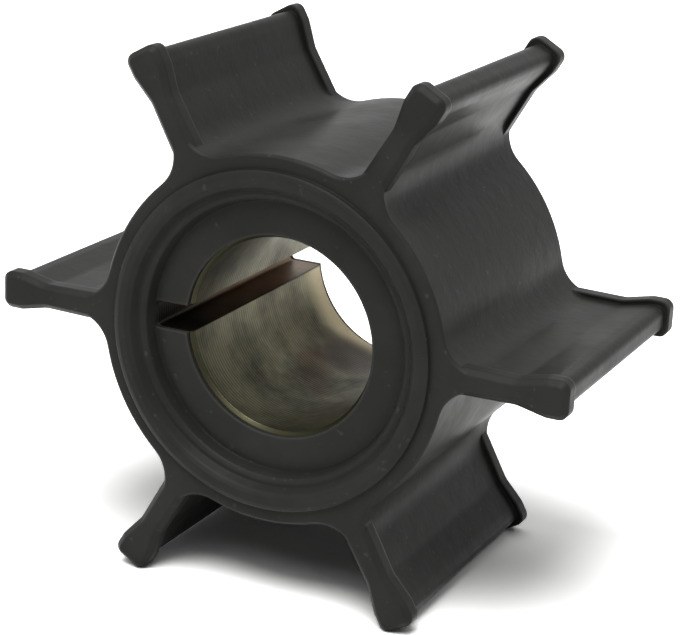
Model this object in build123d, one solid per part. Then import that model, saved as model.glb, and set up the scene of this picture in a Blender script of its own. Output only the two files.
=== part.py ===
# Flexible-vane pump impeller: a rubber wheel of straight radial vanes
# moulded round a keyed bronze drive bush.
# Origin: centre of the wheel on the shaft axis. The shaft runs along Y.
# +Z is up and the wheel stands on the tips of its two lowest vanes.
# The deep-socket end of the hub, called the front, faces -Y.
import math
import os
from build123d import *

# ---- overall sizes, mm ----
wheel_length = 27.0
vane_count = 6
vane_pitch_deg = 360 / vane_count

# ---- vane, mm ----
tip_radius = 24.6           # radius of the tip bead along most of the vane
bead_height = 1.4           # full-width part of the tip bead, along the radius
swell_height = 2.4          # slope between the web and the bead
root_half = 0.82            # half thickness of the web at the hub
neck_half = 0.64            # half thickness of the web below the bead
bead_half = 1.1             # half width of the tip bead
bead_round = 0.75
shoulder_round = 1.5
neck_round = 2.0
root_fillet = 3.1

# ---- moulded lip round each end of a vane, mm ----
lip_thickness = 1.6         # along the shaft
lip_side = 0.38             # how far it stands proud of the web
lip_bead_side = 0.46        # how far it stands proud of the tip bead
lip_tip = 0.4               # how far it stands beyond the tip bead
lip_corner_round = 0.8
lip_bevel = 0.45

# ---- hub barrel and the raised ring on each of its ends, mm ----
barrel_radius = 15.1
barrel_bevel = 0.22
ring_height = 0.55          # ring crown above the vane and barrel ends
ring_radius = 13.95
ring_haunch_radius = 13.85  # where the outer side of the ring starts to round
ring_haunch_depth = 0.2
crown_outer_radius = 13.4
crown_inner_radius = 12.85
ring_inner_radius = 12.45
ring_inner_depth = 0.3

# ---- socket inside each ring, mm ----
ledge_outer_radius = 12.05
ledge_crest_radius = 11.8
ledge_inner_radius = 11.45
ledge_depth = 0.95
ledge_round_depth = 0.25
socket_radius = 11.1        # radius of the flat floor of each socket
front_socket_depth = 2.15
back_socket_depth = 0.5

# ---- drive bush, mm ----
bore_radius = 8.0
bush_radius = 12.1
bore_chamfer = 0.3
skin_thickness = 0.5        # rubber that covers each end face of the bush
key_width = 2.3
key_floor_radius = 11.1     # distance from the shaft axis to the keyway floor
key_floor_round = 0.35

shoulder_radius = tip_radius - bead_height
neck_radius = shoulder_radius - swell_height
front_y = -wheel_length / 2
back_y = wheel_length / 2
vane_end = wheel_length / 2 - ring_height
bush_front_y = front_y + front_socket_depth + skin_thickness
bush_back_y = back_y - back_socket_depth - skin_thickness
bush_length = bush_back_y - bush_front_y
bush_middle_y = (bush_back_y + bush_front_y) / 2
skin_opening_radius = bore_radius + bore_chamfer


def vane_outline(side, bead_side, tip, corner_round):
    # One vane seen along the shaft, pointing along +X: a tapered web that
    # starts inside the hub and swells into a rounded bead.
    end_radius = tip_radius + tip
    lower_side = [
        (ledge_outer_radius, -root_half - side),
        (neck_radius, -neck_half - side),
        (shoulder_radius, -bead_half - bead_side),
        (end_radius, -bead_half - bead_side),
    ]
    upper_side = [(along, -across) for along, across in reversed(lower_side)]
    outline = make_face(Polyline(*lower_side, *upper_side, close=True))
    rounds = (
        (neck_radius, neck_round),
        (shoulder_radius, shoulder_round),
        (end_radius, corner_round),
    )
    for along, size in rounds:
        corners = [corner for corner in outline.vertices() if abs(corner.X - along) < 0.01]
        outline = fillet(corners, size)
    return outline


def star_outline():
    # Barrel and all vanes as one outline with filleted roots.
    star = Circle(barrel_radius)
    for step in range(vane_count):
        star += Rot(0, 0, step * vane_pitch_deg) * vane_outline(0, 0, 0, bead_round)
    roots = [
        corner
        for corner in star.vertices()
        if abs(math.hypot(corner.X, corner.Y) - barrel_radius) < 0.05
    ]
    return fillet(roots, root_fillet)


def vane_lip():
    # Raised lip at the front end of the vane that points along +X. Its outer
    # face is at Y = 0 and its rim is bevelled, but not where it enters the hub.
    outline = Plane.XZ * vane_outline(lip_side, lip_bead_side, lip_tip, lip_corner_round)
    plate = Pos(0, lip_thickness, 0) * extrude(outline, lip_thickness)
    outer_edges = plate.edges().group_by(Axis.Y)[0]
    rim = [edge for edge in outer_edges if edge.center().X > ledge_outer_radius + 0.1]
    return chamfer(rim, lip_bevel)


def raised_ring(end_y, inward):
    # Disc whose outer edge is the rounded ring on one end of the hub. The
    # profile is drawn as radius and distance along the shaft.
    buried_y = end_y + inward * 2 * ring_height
    profile = Polyline(
        (0, buried_y),
        (ring_radius, buried_y),
        (ring_radius, end_y + inward * ring_height),
        (ring_haunch_radius, end_y + inward * ring_haunch_depth),
        (crown_outer_radius, end_y),
        (0, end_y),
        close=True,
    )
    return revolve(make_face(profile), Axis.Y)


def socket_tool(end_y, inward, depth, stepped):
    # Ring-shaped cutter for the socket in one end of the hub, again drawn as
    # radius and distance along the shaft.
    overshoot = end_y - inward
    floor_y = end_y + inward * depth
    ledge_y = end_y + inward * ledge_depth
    wall = [(crown_inner_radius, end_y), (ring_inner_radius, end_y + inward * ring_inner_depth)]
    if stepped:
        wall += [
            (ledge_outer_radius, ledge_y),
            (ledge_crest_radius, ledge_y),
            (ledge_inner_radius, ledge_y + inward * ledge_round_depth),
            (socket_radius, floor_y),
        ]
    else:
        wall += [(ledge_outer_radius, floor_y)]
    profile = Polyline(
        (0, overshoot),
        (crown_inner_radius, overshoot),
        *wall,
        (0, floor_y),
        close=True,
    )
    return revolve(make_face(profile), Axis.Y)


def keyway_tool(length):
    # Keyway on the -X side, level with the vane that points along -X.
    depth = key_floor_radius
    slot = Pos(-depth / 2, 0, 0) * Box(depth, length, key_width)
    floor_edges = slot.edges().filter_by(Axis.Y).group_by(Axis.X)[0]
    return fillet(floor_edges, key_floor_round)


def make_bush():
    blank = Rot(90, 0, 0) * Cylinder(bush_radius, bush_length)
    hole = Rot(90, 0, 0) * Cylinder(bore_radius, bush_length)
    ring = blank - hole
    mouths = [
        edge
        for edge in ring.edges().filter_by(GeomType.CIRCLE)
        if abs(edge.radius - bore_radius) < 0.01
    ]
    ring = chamfer(mouths, bore_chamfer)
    bush = ring - keyway_tool(2 * bush_length)
    return Pos(0, bush_middle_y, 0) * bush


def make_body():
    star = extrude(Plane.XZ * star_outline(), vane_end, both=True)
    ends = star.edges().group_by(Axis.Y)
    body = chamfer([*ends[0], *ends[-1]], barrel_bevel)
    front_lip = Pos(0, -vane_end, 0) * vane_lip()
    for step in range(vane_count):
        lip = Rot(0, step * vane_pitch_deg, 0) * front_lip
        body += [lip, mirror(lip, Plane.XZ)]
    body += [raised_ring(front_y, 1), raised_ring(back_y, -1)]
    body -= socket_tool(front_y, 1, front_socket_depth, True)
    body -= socket_tool(back_y, -1, back_socket_depth, False)
    body -= Rot(90, 0, 0) * Cylinder(skin_opening_radius, 2 * wheel_length)
    body -= Pos(0, bush_middle_y, 0) * (Rot(90, 0, 0) * Cylinder(bush_radius, bush_length))
    return body - keyway_tool(2 * wheel_length)


os.makedirs("parts", exist_ok=True)
body = make_body()
bush = make_bush()
export_step(body, "parts/vane_body.step")
export_step(bush, "parts/drive_bush.step")
print("body volume", round(body.volume, 1), "solids", len(body.solids()))
print("bush volume", round(bush.volume, 1), "solids", len(bush.solids()))
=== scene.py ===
import math
import bpy
from mathutils import Matrix, Vector


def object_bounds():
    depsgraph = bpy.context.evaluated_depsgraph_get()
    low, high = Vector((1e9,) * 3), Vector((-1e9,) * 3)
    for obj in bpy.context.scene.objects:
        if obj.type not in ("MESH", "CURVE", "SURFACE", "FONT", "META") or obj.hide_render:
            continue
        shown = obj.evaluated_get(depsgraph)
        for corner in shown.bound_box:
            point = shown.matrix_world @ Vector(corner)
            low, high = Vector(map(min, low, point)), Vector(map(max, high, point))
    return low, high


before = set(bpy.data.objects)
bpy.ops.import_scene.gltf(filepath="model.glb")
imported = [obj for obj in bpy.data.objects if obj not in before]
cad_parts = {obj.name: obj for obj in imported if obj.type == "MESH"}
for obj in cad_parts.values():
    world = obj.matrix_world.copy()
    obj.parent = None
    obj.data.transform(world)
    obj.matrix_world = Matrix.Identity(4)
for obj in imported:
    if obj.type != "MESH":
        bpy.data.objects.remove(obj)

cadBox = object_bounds()
millimetre = 0.001

# Sockets of a colour mix, which go by number because their names repeat.
mixShare, mixBelow, mixAbove, mixResult = 0, 6, 7, 2


def linearColour(hexText):
    channels = [int(hexText[i:i + 2], 16) / 255 for i in (1, 3, 5)]
    return [c / 12.92 if c <= 0.04045 else ((c + 0.055) / 1.055) ** 2.4 for c in channels] + [1.0]


def patternScale(sizeMm):
    return 1 / (sizeMm * millimetre)


def addNode(tree, kind, settings=None, inputs=None):
    # An input is a fixed value or an output of another node.
    node = tree.nodes.new(kind)
    for name, value in (settings or {}).items():
        setattr(node, name, value)
    for name, value in (inputs or {}).items():
        if isinstance(value, bpy.types.NodeSocket):
            tree.links.new(value, node.inputs[name])
        else:
            node.inputs[name].default_value = value
    return node


def newMaterial(name):
    material = bpy.data.materials.new(name)
    material.use_nodes = True
    material.node_tree.nodes.clear()
    return material, material.node_tree


def layColours(tree, colour, layers):
    # A layer is a colour and the share of it that covers the ones below.
    for hexText, share in layers:
        layer = addNode(
            tree, "ShaderNodeMix", {"data_type": "RGBA"},
            {mixShare: share, mixBelow: colour, mixAbove: linearColour(hexText)})
        colour = layer.outputs[mixResult]
    return colour


# Moulded nitrile rubber: near black with a soft, broad gloss, shallow dimples
# and a fine satin grain from the mould. It has faint patches of grey bloom and a
# few dust specks. Grooves and creases are darkened with painted shade, and edges
# are painted greyer, partly as rubbed wear and partly as painted highlight.
rubberLook = {
    "colour": "#262625",
    "roughness": (0.29, 0.46),
    "roughnessLevels": (0.3, 0.7),
    "specular": 0.06,
    "patterns": {
        "patches": {"sizeMm": 7.0, "detail": 5.0, "roughness": 0.6},
        "specks": {"sizeMm": 0.55, "detail": 1.0, "roughness": 0.5},
        "dimples": {"sizeMm": 1.6, "detail": 3.0, "roughness": 0.5},
        "grain": {"sizeMm": 0.3, "detail": 2.0, "roughness": 0.5},  # coarser than real, so that it shows
    },
    # A layer starts at the first of its levels and is strongest at the second.
    "layers": {
        "bloom": {"colour": "#333331", "levels": (0.42, 0.72), "strength": 0.6},
        "specks": {"colour": "#4a4a45", "levels": (0.70, 0.78), "strength": 0.35},
        # painted shade: darker where the surface is enclosed, in grooves and creases
        "paintedGrooveShade": {"colour": "#0e0e0d", "levels": (0.95, 0.45), "strength": 0.9},
        # partly rubbed wear, partly painted highlight: lighter on outward edges
        "rubbedEdgesAndPaintedHighlight": {"colour": "#565651", "levels": (0.85, 0.4), "strength": 0.4},
    },
    "grooveReachMm": 1.4,
    "edgeWearAndHighlightMm": 0.35,
    "edgeRoundMm": 0.3,
    "dimpleDepthMm": 0.12,
    "dimpleStrength": 0.35,
    "grainDepthMm": 0.013,
    "grainStrength": 0.5,
    "raySamples": 8,
}


def rubberColour(tree, noise):
    look = rubberLook
    # How enclosed the surface is; it sets the painted shade in grooves and creases.
    openness = addNode(
        tree, "ShaderNodeAmbientOcclusion", {"samples": look["raySamples"]},
        {"Distance": look["grooveReachMm"] * millimetre})
    # How sharp an outward edge is; it sets the rubbed wear and the painted edge highlight.
    solidBehind = addNode(
        tree, "ShaderNodeAmbientOcclusion", {"samples": look["raySamples"], "inside": True},
        {"Distance": look["edgeWearAndHighlightMm"] * millimetre})
    masks = {
        "bloom": noise["patches"],
        "specks": noise["specks"],
        "paintedGrooveShade": openness.outputs["AO"],
        "rubbedEdgesAndPaintedHighlight": solidBehind.outputs["AO"],
    }
    layers = []
    for name, layer in look["layers"].items():
        share = addNode(
            tree, "ShaderNodeMapRange", inputs={
                "Value": masks[name], "From Min": layer["levels"][0], "From Max": layer["levels"][1],
                "To Max": layer["strength"]})
        layers.append((layer["colour"], share.outputs["Result"]))
    return layColours(tree, linearColour(look["colour"]), layers)


def rubberRelief(tree, noise):
    look = rubberLook
    softEdges = addNode(
        tree, "ShaderNodeBevel", {"samples": look["raySamples"]},
        {"Radius": look["edgeRoundMm"] * millimetre})
    dimpled = addNode(
        tree, "ShaderNodeBump", inputs={
            "Height": noise["dimples"], "Normal": softEdges.outputs["Normal"],
            "Strength": look["dimpleStrength"], "Distance": look["dimpleDepthMm"] * millimetre})
    grained = addNode(
        tree, "ShaderNodeBump", inputs={
            "Height": noise["grain"], "Normal": dimpled.outputs["Normal"],
            "Strength": look["grainStrength"], "Distance": look["grainDepthMm"] * millimetre})
    return grained.outputs["Normal"]


def mouldedNitrileRubber():
    look = rubberLook
    material, tree = newMaterial("moulded nitrile rubber")
    place = addNode(tree, "ShaderNodeTexCoord").outputs["Object"]
    noise = {}
    for name, pattern in look["patterns"].items():
        noise[name] = addNode(
            tree, "ShaderNodeTexNoise", inputs={
                "Vector": place, "Scale": patternScale(pattern["sizeMm"]),
                "Detail": pattern["detail"], "Roughness": pattern["roughness"]}).outputs["Fac"]
    roughness = addNode(
        tree, "ShaderNodeMapRange", inputs={
            "Value": noise["patches"],
            "From Min": look["roughnessLevels"][0], "From Max": look["roughnessLevels"][1],
            "To Min": look["roughness"][0], "To Max": look["roughness"][1]})
    shader = addNode(
        tree, "ShaderNodeBsdfPrincipled", inputs={
            "Base Color": rubberColour(tree, noise), "Roughness": roughness.outputs["Result"],
            "Specular IOR Level": look["specular"], "Normal": rubberRelief(tree, noise)})
    addNode(tree, "ShaderNodeOutputMaterial", inputs={"Surface": shader.outputs["BSDF"]})
    return material


# Bored bronze: olive brown from tarnish, with fine rings left by the boring
# tool. Brown stains dull it, the shallow-socket end is painted paler with the
# light that comes in through that opening, old grease lies low in the bore, and
# the keyway is a reddish brown, darkened with painted shade towards its mouth.
bronzeLook = {
    "colour": "#605e47",
    "tarnish": "#2f2e22",
    # painted light: the bore paler towards the shallow-socket opening
    "farEndPaintedLight": "#a3977a",
    "stain": "#3f3220",
    "grease": "#3f3220",
    "keyway": "#725e4a",
    # painted shade: the keyway darker towards its mouth
    "keywayMouthPaintedShade": "#241f1a",
    "roughness": (0.34, 0.55),
    "roughnessLevels": (0.3, 0.7),
    "metallic": (0.95, 0.1),        # bare, then under grease
    "specular": 0.15,
    "patchMm": 5.0,
    "tarnishLevels": (0.38, 0.66),
    "tarnishStrength": (0.1, 0.9),
    "stainMm": 8.5,
    "stainLevels": (0.56, 0.70),
    "stainStrength": 0.8,
    "farEndPaintedLightAlongMm": (8.5, 11.5),   # along the shaft, towards the shallow-socket end
    "farEndPaintedLightStrength": 0.8,
    "greaseAtMm": (-2.2, 8.0, -7.7),
    "greaseReachMm": (1.6, 4.4),
    "greaseStrength": 0.95,
    "chamferFromMm": 8.04,          # distance from the shaft axis
    "keywayFromMm": -8.15,          # across the shaft, on the side of the keyway
    "keywayHalfWidthMm": 1.3,
    "keywayShadeMm": (-9.0, 3.0),   # along the shaft, from its mouth inwards
    "ringPitchMm": 0.35,            # wider apart than real rings, so that they show
    "ringDepthMm": 0.02,
    "ringStrength": 0.5,
    "edgeRoundMm": 0.15,
    "raySamples": 8,
}
bandSpacing = 2 * math.pi / 20      # of the wave texture at scale 1


def greaseShare(tree, place):
    look = bronzeLook
    fromGrease = addNode(
        tree, "ShaderNodeVectorMath", {"operation": "DISTANCE"},
        {0: place, 1: [millimetre * part for part in look["greaseAtMm"]]})
    share = addNode(
        tree, "ShaderNodeMapRange", {"interpolation_type": "SMOOTHSTEP"},
        {"Value": fromGrease.outputs["Value"],
         "From Min": look["greaseReachMm"][0] * millimetre,
         "From Max": look["greaseReachMm"][1] * millimetre,
         "To Min": look["greaseStrength"], "To Max": 0.0})
    return share.outputs["Result"]


def onChamfer(tree, place):
    acrossShaft = addNode(
        tree, "ShaderNodeVectorMath", {"operation": "MULTIPLY"}, {0: place, 1: (1.0, 0.0, 1.0)})
    fromAxis = addNode(
        tree, "ShaderNodeVectorMath", {"operation": "LENGTH"}, {0: acrossShaft.outputs["Vector"]})
    mask = addNode(
        tree, "ShaderNodeMath", {"operation": "GREATER_THAN"},
        {0: fromAxis.outputs["Value"], 1: bronzeLook["chamferFromMm"] * millimetre})
    return mask.outputs["Value"]


def inKeyway(tree, axes):
    beyondBore = addNode(
        tree, "ShaderNodeMath", {"operation": "LESS_THAN"},
        {0: axes.outputs["X"], 1: bronzeLook["keywayFromMm"] * millimetre})
    fromMiddle = addNode(tree, "ShaderNodeMath", {"operation": "ABSOLUTE"}, {0: axes.outputs["Z"]})
    betweenWalls = addNode(
        tree, "ShaderNodeMath", {"operation": "LESS_THAN"},
        {0: fromMiddle.outputs["Value"], 1: bronzeLook["keywayHalfWidthMm"] * millimetre})
    mask = addNode(
        tree, "ShaderNodeMath", {"operation": "MULTIPLY"},
        {0: beyondBore.outputs["Value"], 1: betweenWalls.outputs["Value"]})
    return mask.outputs["Value"]


def boreColour(tree, place, axes, patches, grease):
    look = bronzeLook
    stains = addNode(
        tree, "ShaderNodeTexNoise", inputs={
            "Vector": place, "Scale": patternScale(look["stainMm"]), "Detail": 4.0, "Distortion": 0.6})
    tarnishShare = addNode(
        tree, "ShaderNodeMapRange", inputs={
            "Value": patches,
            "From Min": look["tarnishLevels"][0], "From Max": look["tarnishLevels"][1],
            "To Min": look["tarnishStrength"][0], "To Max": look["tarnishStrength"][1]})
    # Painted light: paler towards the shallow-socket opening, where light comes in.
    farEndPaintedLightShare = addNode(
        tree, "ShaderNodeMapRange", {"interpolation_type": "SMOOTHSTEP"},
        {"Value": axes.outputs["Y"],
         "From Min": look["farEndPaintedLightAlongMm"][0] * millimetre,
         "From Max": look["farEndPaintedLightAlongMm"][1] * millimetre,
         "To Max": look["farEndPaintedLightStrength"]})
    stainShare = addNode(
        tree, "ShaderNodeMapRange", inputs={
            "Value": stains.outputs["Fac"],
            "From Min": look["stainLevels"][0], "From Max": look["stainLevels"][1],
            "To Max": look["stainStrength"]})
    return layColours(tree, linearColour(look["colour"]), [
        (look["tarnish"], tarnishShare.outputs["Result"]),
        (look["farEndPaintedLight"], farEndPaintedLightShare.outputs["Result"]),
        (look["stain"], stainShare.outputs["Result"]),
        (look["grease"], grease),
        (look["tarnish"], onChamfer(tree, place))])


def keywayColour(tree, axes):
    look = bronzeLook
    # The keyway is painted darker towards its mouth as shade.
    inwards = addNode(
        tree, "ShaderNodeMapRange", {"interpolation_type": "SMOOTHSTEP"},
        {"Value": axes.outputs["Y"],
         "From Min": look["keywayShadeMm"][0] * millimetre,
         "From Max": look["keywayShadeMm"][1] * millimetre})
    return layColours(
        tree, linearColour(look["keywayMouthPaintedShade"]), [(look["keyway"], inwards.outputs["Result"])])


def boringRings(tree, place):
    look = bronzeLook
    rings = addNode(
        tree, "ShaderNodeTexWave", {"bands_direction": "Y"},
        {"Vector": place, "Scale": bandSpacing * patternScale(look["ringPitchMm"]),
         "Distortion": 1.5, "Detail": 2.0, "Detail Scale": 0.4})
    softEdges = addNode(
        tree, "ShaderNodeBevel", {"samples": look["raySamples"]},
        {"Radius": look["edgeRoundMm"] * millimetre})
    ringed = addNode(
        tree, "ShaderNodeBump", inputs={
            "Height": rings.outputs["Fac"], "Normal": softEdges.outputs["Normal"],
            "Strength": look["ringStrength"], "Distance": look["ringDepthMm"] * millimetre})
    return ringed.outputs["Normal"]


def boredBronze():
    look = bronzeLook
    material, tree = newMaterial("bored tarnished bronze")
    place = addNode(tree, "ShaderNodeTexCoord").outputs["Object"]
    axes = addNode(tree, "ShaderNodeSeparateXYZ", inputs={"Vector": place})
    patches = addNode(
        tree, "ShaderNodeTexNoise", inputs={
            "Vector": place, "Scale": patternScale(look["patchMm"]),
            "Detail": 6.0, "Roughness": 0.62}).outputs["Fac"]
    grease = greaseShare(tree, place)
    colour = addNode(
        tree, "ShaderNodeMix", {"data_type": "RGBA"},
        {mixShare: inKeyway(tree, axes), mixBelow: boreColour(tree, place, axes, patches, grease),
         mixAbove: keywayColour(tree, axes)})
    roughness = addNode(
        tree, "ShaderNodeMapRange", inputs={
            "Value": patches,
            "From Min": look["roughnessLevels"][0], "From Max": look["roughnessLevels"][1],
            "To Min": look["roughness"][0], "To Max": look["roughness"][1]})
    metallic = addNode(
        tree, "ShaderNodeMapRange", inputs={
            "Value": grease, "To Min": look["metallic"][0], "To Max": look["metallic"][1]})
    shader = addNode(
        tree, "ShaderNodeBsdfPrincipled", inputs={
            "Base Color": colour.outputs[mixResult], "Metallic": metallic.outputs["Result"],
            "Roughness": roughness.outputs["Result"], "Specular IOR Level": look["specular"],
            "Normal": boringRings(tree, place)})
    addNode(tree, "ShaderNodeOutputMaterial", inputs={"Surface": shader.outputs["BSDF"]})
    return material


def paint(nodeName, material):
    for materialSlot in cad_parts[nodeName].material_slots:
        materialSlot.material = material


paint("vane_body", mouldedNitrileRubber())
paint("drive_bush", boredBronze())
print("impeller painted")

# White matt card under a plain white sky. The card is lifted where it is seen,
# so that it turns white away from the part and keeps the soft shadow.
studio = {
    "cardColour": "#f4f4f2",
    "fibreColour": "#efefed",
    "fibreMm": 6.0,
    "cardRoughness": 0.95,
    "cardSpecular": 0.1,
    "cardSizeM": 1.0,
    "seenLift": 0.8,                # extra whiteness of the card where it is seen or mirrored
    "skyColour": "#ffffff",
    "skyLight": 0.06,               # strength of the sky as a light
    "skySeen": 1.0,                 # strength of the sky where it is seen or mirrored
    "lamps": {
        "wide softbox overhead": {"placeM": (0.0, -0.15, 0.85), "sizeM": 1.7, "watts": 8.0},
        "softbox above the front": {"placeM": (0.06, -0.5, 1.15), "sizeM": 0.8, "watts": 14.0},
    },
}


def seenAmount(tree):
    # One for rays that show the background, straight, mirrored or through
    # something clear, and zero for rays that only bring light.
    rays = addNode(tree, "ShaderNodeLightPath")
    indirect = addNode(
        tree, "ShaderNodeMath", {"operation": "MAXIMUM"},
        {0: rays.outputs["Is Glossy Ray"], 1: rays.outputs["Is Transmission Ray"]})
    seen = addNode(
        tree, "ShaderNodeMath", {"operation": "MAXIMUM"},
        {0: rays.outputs["Is Camera Ray"], 1: indirect.outputs["Value"]})
    return seen.outputs["Value"]


def whiteMattCard():
    material, tree = newMaterial("white matt card")
    place = addNode(tree, "ShaderNodeTexCoord").outputs["Object"]
    fibres = addNode(
        tree, "ShaderNodeTexNoise", inputs={
            "Vector": place, "Scale": patternScale(studio["fibreMm"]), "Detail": 4.0})
    colour = layColours(
        tree, linearColour(studio["cardColour"]),
        [(studio["fibreColour"], fibres.outputs["Fac"])])
    card = addNode(
        tree, "ShaderNodeBsdfPrincipled", inputs={
            "Base Color": colour, "Roughness": studio["cardRoughness"],
            "Specular IOR Level": studio["cardSpecular"]})
    lift = addNode(
        tree, "ShaderNodeMath", {"operation": "MULTIPLY"},
        {0: seenAmount(tree), 1: studio["seenLift"]})
    extra = addNode(tree, "ShaderNodeBsdfDiffuse", inputs={"Color": lift.outputs["Value"]})
    both = addNode(
        tree, "ShaderNodeAddShader", inputs={0: card.outputs["BSDF"], 1: extra.outputs["BSDF"]})
    addNode(tree, "ShaderNodeOutputMaterial", inputs={"Surface": both.outputs["Shader"]})
    return material


def buildFloor():
    half = studio["cardSizeM"] / 2
    level = cadBox[0][2]            # the lowest point of the part
    mesh = bpy.data.meshes.new("floor")
    mesh.from_pydata(
        [(-half, -half, level), (half, -half, level), (half, half, level), (-half, half, level)],
        [], [(0, 1, 2, 3)])
    mesh.materials.append(whiteMattCard())
    floor = bpy.data.objects.new("floor", mesh)
    bpy.context.collection.objects.link(floor)


def buildSky():
    world = bpy.data.worlds.new("studio")
    world.use_nodes = True
    tree = world.node_tree
    tree.nodes.clear()
    strength = addNode(
        tree, "ShaderNodeMapRange", inputs={
            "Value": seenAmount(tree), "To Min": studio["skyLight"], "To Max": studio["skySeen"]})
    sky = addNode(
        tree, "ShaderNodeBackground", inputs={
            "Color": linearColour(studio["skyColour"]), "Strength": strength.outputs["Result"]})
    addNode(tree, "ShaderNodeOutputWorld", inputs={"Surface": sky.outputs["Background"]})
    bpy.context.scene.world = world


def buildLamps():
    # Every lamp faces the middle of the part.
    for name, lamp in studio["lamps"].items():
        light = bpy.data.lights.new(name, "AREA")
        light.shape = "DISK"
        light.size = lamp["sizeM"]
        light.energy = lamp["watts"]
        holder = bpy.data.objects.new(name, light)
        holder.location = lamp["placeM"]
        holder.rotation_euler = (-Vector(lamp["placeM"])).to_track_quat("-Z", "Y").to_euler()
        bpy.context.collection.objects.link(holder)


buildFloor()
buildSky()
buildLamps()
print("studio built")

# The camera looks slightly down on the deep-socket end from the right.
view = {
    "aimMm": (4.92, -10.37, 2.34),
    "azimuthDeg": 25.08,
    "elevationDeg": 17.75,
    "rollDeg": 2.99,
    "distanceMm": 170.67,
    "lensMm": 115.54,
    "sensorMm": 36.0,
    "clipStartMm": 10.0,
}


def buildCamera():
    azimuth = math.radians(view["azimuthDeg"])
    elevation = math.radians(view["elevationDeg"])
    roll = math.radians(view["rollDeg"])
    ahead = Vector((-math.sin(azimuth) * math.cos(elevation),
                    math.cos(azimuth) * math.cos(elevation), -math.sin(elevation)))
    level = Vector((math.cos(azimuth), math.sin(azimuth), 0.0))
    upright = level.cross(ahead)
    right = math.cos(roll) * level + math.sin(roll) * upright
    up = -math.sin(roll) * level + math.cos(roll) * upright
    place = Vector(view["aimMm"]) * millimetre - ahead * view["distanceMm"] * millimetre
    lens = bpy.data.cameras.new("camera")
    lens.lens = view["lensMm"]
    lens.sensor_width = view["sensorMm"]
    lens.sensor_fit = "HORIZONTAL"
    lens.clip_start = view["clipStartMm"] * millimetre
    holder = bpy.data.objects.new("camera", lens)
    holder.matrix_world = Matrix((
        (right.x, up.x, -ahead.x, place.x),
        (right.y, up.y, -ahead.y, place.y),
        (right.z, up.z, -ahead.z, place.z),
        (0.0, 0.0, 0.0, 1.0)))
    bpy.context.collection.objects.link(holder)
    bpy.context.scene.camera = holder


buildCamera()
bpy.context.scene.view_settings.view_transform = "Standard"
print("camera set")
